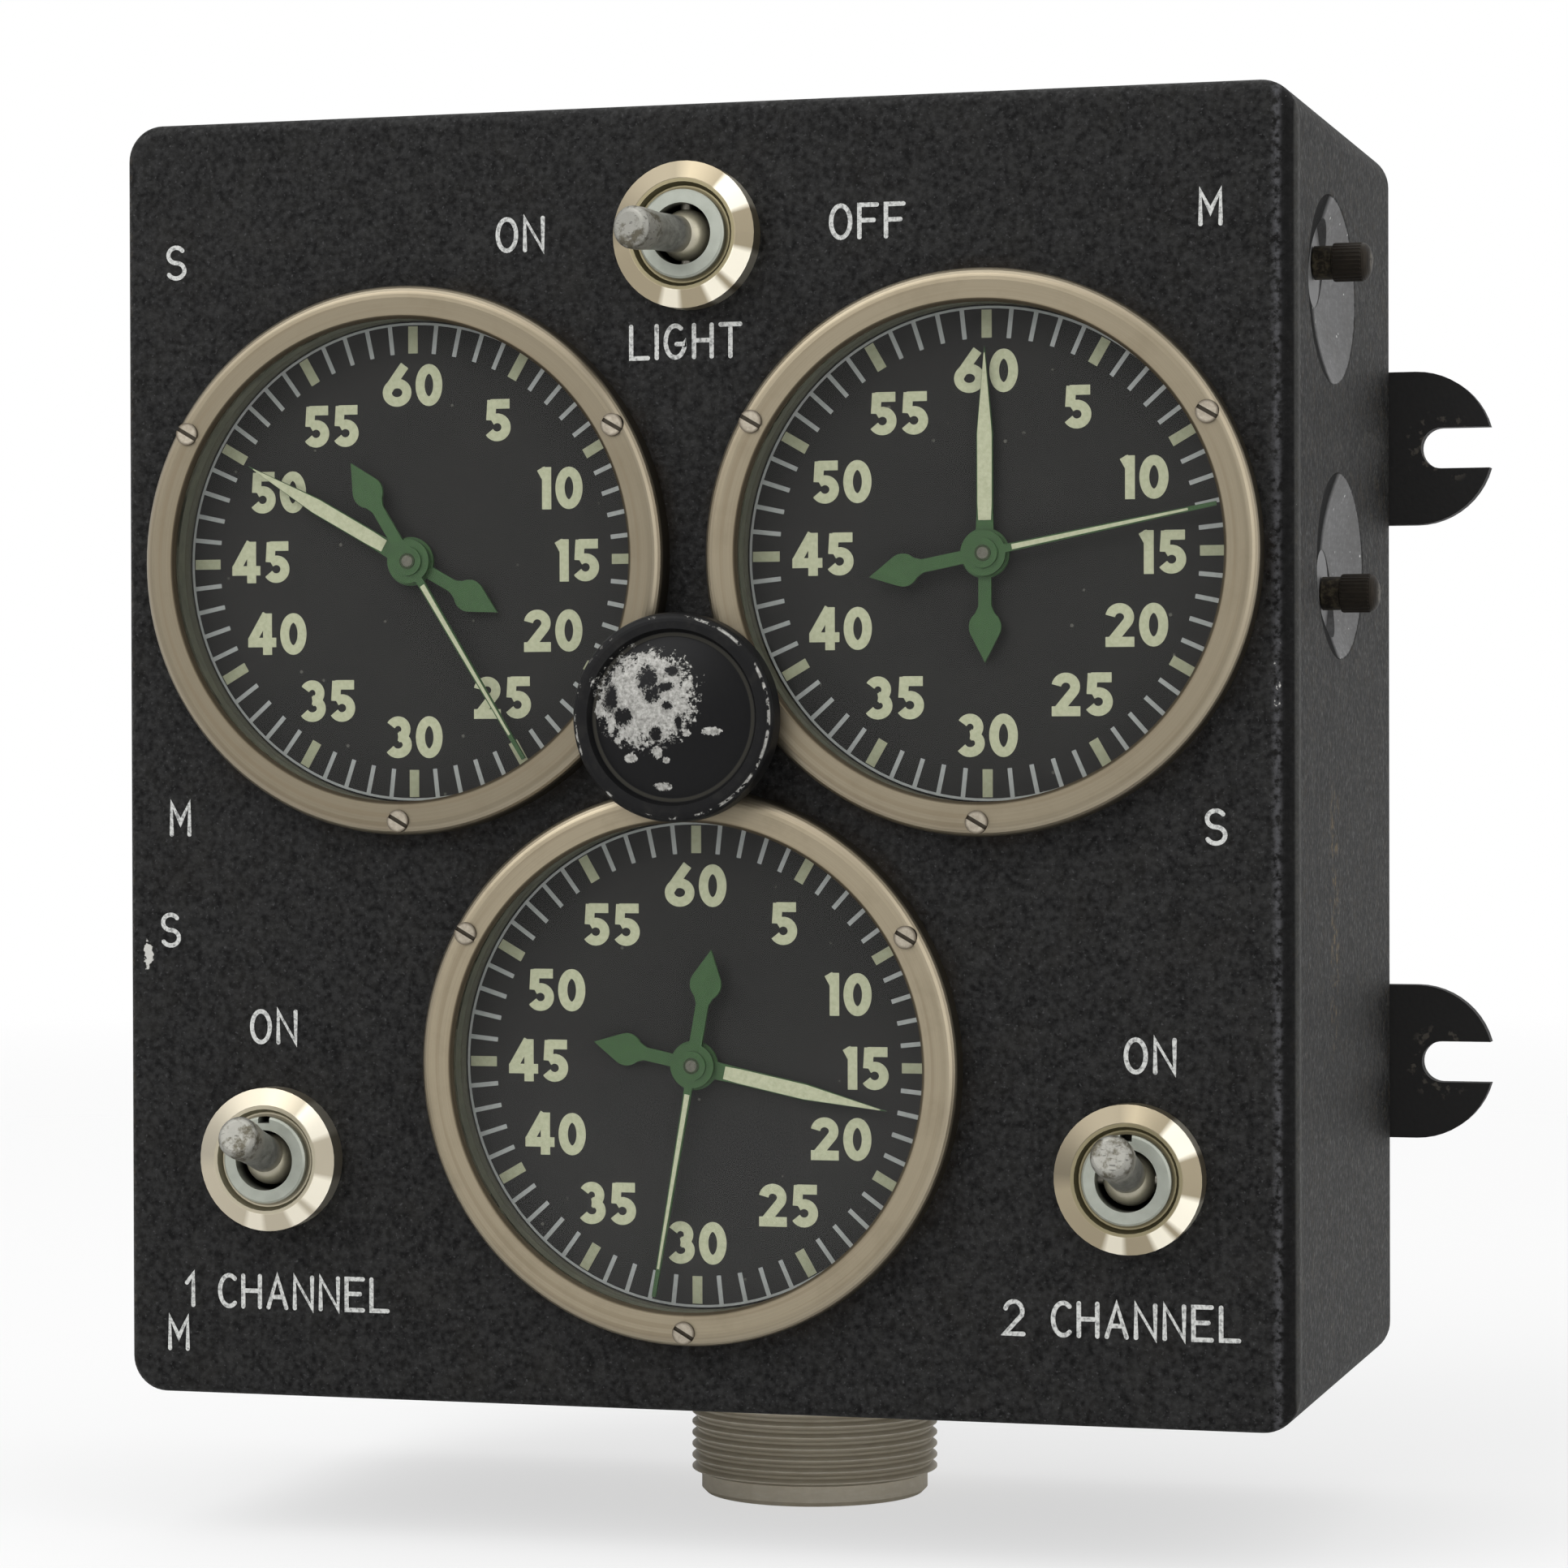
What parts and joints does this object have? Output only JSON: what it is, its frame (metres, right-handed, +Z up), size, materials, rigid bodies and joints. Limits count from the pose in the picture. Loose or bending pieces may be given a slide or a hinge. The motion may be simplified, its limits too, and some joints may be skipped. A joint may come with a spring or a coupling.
{
  "type": "interval timer",
  "caption": "Panel interval timer in a black metal case with three minute-and-second dials, toggle switches, side setting crowns and a central dial lamp.",
  "frame": {"origin": "centre of the plane that the rear straps bolt against", "axes": "+X right as seen from the front, +Y into the wall behind, +Z up"},
  "size_m": [0.176, 0.0945, 0.1792],
  "materials": {
    "black_crackle": "fine crackle black enamel, chipped at edges",
    "bezel_nickel": "satin aged nickel",
    "bright_nickel": "turned bright nickel",
    "steel": "plain zinc-plated steel",
    "glass": "clear flat glass",
    "rubber": "dark gasket rubber",
    "dial_black": "matt black with white print",
    "hand_green": "green enamel with cream lume",
    "movement_brass": "lacquered brass",
    "motor_alloy": "dull alloy can",
    "phenolic": "moulded brown phenolic",
    "lever_nickel": "worn nickel",
    "cap_black": "gloss black over light alloy, chipped",
    "bulb_glass": "clear bulb",
    "connector_nickel": "worn nickel over brass",
    "contact_gilt": "gilt contacts",
    "crown_black": "blackened brass, knurled",
    "bush_grey": "bare turned alloy",
    "wire_red": "lacquered wiring"
  },
  "bodies": {
    "case": {"front_housing": "black_crackle", "back_cover": "black_crackle", "rear_screws": "steel", "mounting_straps": "black_crackle", "left_bezel": "bezel_nickel", "right_bezel": "bezel_nickel", "lower_bezel": "bezel_nickel", "dial_glasses": "glass", "glass_gaskets": "rubber", "left_dial_plate": "dial_black", "right_dial_plate": "dial_black", "lower_dial_plate": "dial_black", "bezel_screws": "bright_nickel", "left_movement_frame": "movement_brass", "right_movement_frame": "movement_brass", "lower_movement_frame": "movement_brass", "left_drive_motor": "motor_alloy", "right_drive_motor": "motor_alloy", "lower_drive_motor": "motor_alloy", "top_switch_body": "phenolic", "left_switch_body": "phenolic", "right_switch_body": "phenolic", "switch_dress_nuts": "bright_nickel", "switch_pivot_pins": "steel", "lamp_holder": "bezel_nickel", "lamp_bulb": "bulb_glass", "connector_shell": "connector_nickel", "connector_insert": "phenolic", "connector_contacts": "contact_gilt", "connector_screws": "steel", "terminal_board": "phenolic", "wiring_harness": "wire_red", "crown_bushes": "bush_grey"},
    "top_switch_toggle": {"top_switch_lever": "lever_nickel"},
    "left_switch_toggle": {"left_switch_lever": "lever_nickel"},
    "right_switch_toggle": {"right_switch_lever": "lever_nickel"},
    "lamp_dimmer": {"lamp_cap": "cap_black"},
    "left_minute_setting": {"left_minute_crown": "crown_black"},
    "left_minute_pointer": {"left_minute_arbor": "movement_brass", "left_minute_hand": "hand_green"},
    "left_second_setting": {"left_second_crown": "crown_black"},
    "left_second_pointer": {"left_second_arbor": "steel", "left_second_hand": "hand_green"},
    "right_minute_setting": {"right_minute_crown": "crown_black"},
    "right_minute_pointer": {"right_minute_arbor": "movement_brass", "right_minute_hand": "hand_green"},
    "right_second_setting": {"right_second_crown": "crown_black"},
    "right_second_pointer": {"right_second_arbor": "steel", "right_second_hand": "hand_green"},
    "lower_minute_setting": {"lower_minute_crown": "crown_black"},
    "lower_minute_pointer": {"lower_minute_arbor": "movement_brass", "lower_minute_hand": "hand_green"},
    "lower_second_setting": {"lower_second_crown": "crown_black"},
    "lower_second_pointer": {"lower_second_arbor": "steel", "lower_second_hand": "hand_green"},
    "left_transfer": {"left_transfer_gear": "movement_brass"},
    "right_transfer": {"right_transfer_gear": "movement_brass"},
    "lower_minute_transfer": {"lower_minute_transfer_gear": "movement_brass"},
    "lower_second_transfer": {"lower_second_transfer_gear": "movement_brass"}
  },
  "joints": [
    {"name": "top_switch_swing", "type": "hinge", "parent": "case", "child": "top_switch_toggle", "pos_m": [0, -0.0822, 0.064], "axis": [0, 0, 1], "range_deg": [0, 36]},
    {"name": "left_switch_swing", "type": "hinge", "parent": "case", "child": "left_switch_toggle", "pos_m": [-0.055, -0.0822, -0.0503], "axis": [1, 0, 0], "range_deg": [0, 36]},
    {"name": "right_switch_swing", "type": "hinge", "parent": "case", "child": "right_switch_toggle", "pos_m": [0.055, -0.0822, -0.0503], "axis": [1, 0, 0], "range_deg": [0, 36]},
    {"name": "lamp_cap_turn", "type": "hinge", "parent": "case", "child": "lamp_dimmer", "pos_m": [0, -0.081, 0.005], "axis": [0, 1, 0], "range_deg": [0, 60]},
    {"name": "left_minute_hand_turn", "type": "hinge", "parent": "case", "child": "left_minute_pointer", "pos_m": [-0.0369, -0.08, 0.0247], "axis": [0, 1, 0], "continuous": true},
    {"name": "left_minute_crown_turn", "type": "hinge", "parent": "case", "child": "left_minute_setting", "pos_m": [-0.075, -0.054, 0.0204], "axis": [-1, 0, 0], "continuous": true},
    {"name": "left_second_hand_turn", "type": "hinge", "parent": "case", "child": "left_second_pointer", "pos_m": [-0.0369, -0.08, 0.0247], "axis": [0, 1, 0], "continuous": true},
    {"name": "left_second_crown_turn", "type": "hinge", "parent": "case", "child": "left_second_setting", "pos_m": [-0.075, -0.048, 0.0612], "axis": [-1, 0, 0], "continuous": true},
    {"name": "left_transfer_turn", "type": "hinge", "parent": "case", "child": "left_transfer", "pos_m": [-0.0462, -0.061, 0.0612], "axis": [0, 1, 0], "continuous": true},
    {"name": "right_minute_hand_turn", "type": "hinge", "parent": "case", "child": "right_minute_pointer", "pos_m": [0.0369, -0.08, 0.0247], "axis": [0, 1, 0], "continuous": true},
    {"name": "right_minute_crown_turn", "type": "hinge", "parent": "case", "child": "right_minute_setting", "pos_m": [0.075, -0.054, 0.0612], "axis": [1, 0, 0], "continuous": true},
    {"name": "right_transfer_turn", "type": "hinge", "parent": "case", "child": "right_transfer", "pos_m": [0.0462, -0.061, 0.0612], "axis": [0, 1, 0], "continuous": true},
    {"name": "right_second_hand_turn", "type": "hinge", "parent": "case", "child": "right_second_pointer", "pos_m": [0.0369, -0.08, 0.0247], "axis": [0, 1, 0], "continuous": true},
    {"name": "right_second_crown_turn", "type": "hinge", "parent": "case", "child": "right_second_setting", "pos_m": [0.075, -0.048, 0.0204], "axis": [1, 0, 0], "continuous": true},
    {"name": "lower_minute_hand_turn", "type": "hinge", "parent": "case", "child": "lower_minute_pointer", "pos_m": [0, -0.08, -0.0378], "axis": [0, 1, 0], "continuous": true},
    {"name": "lower_minute_crown_turn", "type": "hinge", "parent": "case", "child": "lower_minute_setting", "pos_m": [-0.075, -0.054, -0.065], "axis": [-1, 0, 0], "continuous": true},
    {"name": "lower_minute_transfer_turn", "type": "hinge", "parent": "case", "child": "lower_minute_transfer", "pos_m": [-0.024, -0.061, -0.065], "axis": [0, 1, 0], "continuous": true},
    {"name": "lower_second_hand_turn", "type": "hinge", "parent": "case", "child": "lower_second_pointer", "pos_m": [0, -0.08, -0.0378], "axis": [0, 1, 0], "continuous": true},
    {"name": "lower_second_crown_turn", "type": "hinge", "parent": "case", "child": "lower_second_setting", "pos_m": [-0.075, -0.048, -0.026], "axis": [-1, 0, 0], "continuous": true},
    {"name": "lower_second_transfer_turn", "type": "hinge", "parent": "case", "child": "lower_second_transfer", "pos_m": [-0.0275, -0.061, -0.026], "axis": [0, 1, 0], "continuous": true}
  ],
  "couplings": [
    {"joint": "left_minute_crown_turn", "follows": "left_minute_hand_turn", "ratio": -4},
    {"joint": "left_transfer_turn", "follows": "left_second_hand_turn", "ratio": -1.9231},
    {"joint": "left_second_crown_turn", "follows": "left_second_hand_turn", "ratio": 5.1282},
    {"joint": "right_transfer_turn", "follows": "right_minute_hand_turn", "ratio": -1.9231},
    {"joint": "right_minute_crown_turn", "follows": "right_minute_hand_turn", "ratio": 5.1282},
    {"joint": "right_second_crown_turn", "follows": "right_second_hand_turn", "ratio": -4},
    {"joint": "lower_minute_transfer_turn", "follows": "lower_minute_hand_turn", "ratio": -3},
    {"joint": "lower_minute_crown_turn", "follows": "lower_minute_hand_turn", "ratio": 8},
    {"joint": "lower_second_transfer_turn", "follows": "lower_second_hand_turn", "ratio": -1.7143},
    {"joint": "lower_second_crown_turn", "follows": "lower_second_hand_turn", "ratio": 4.5714}
  ]
}
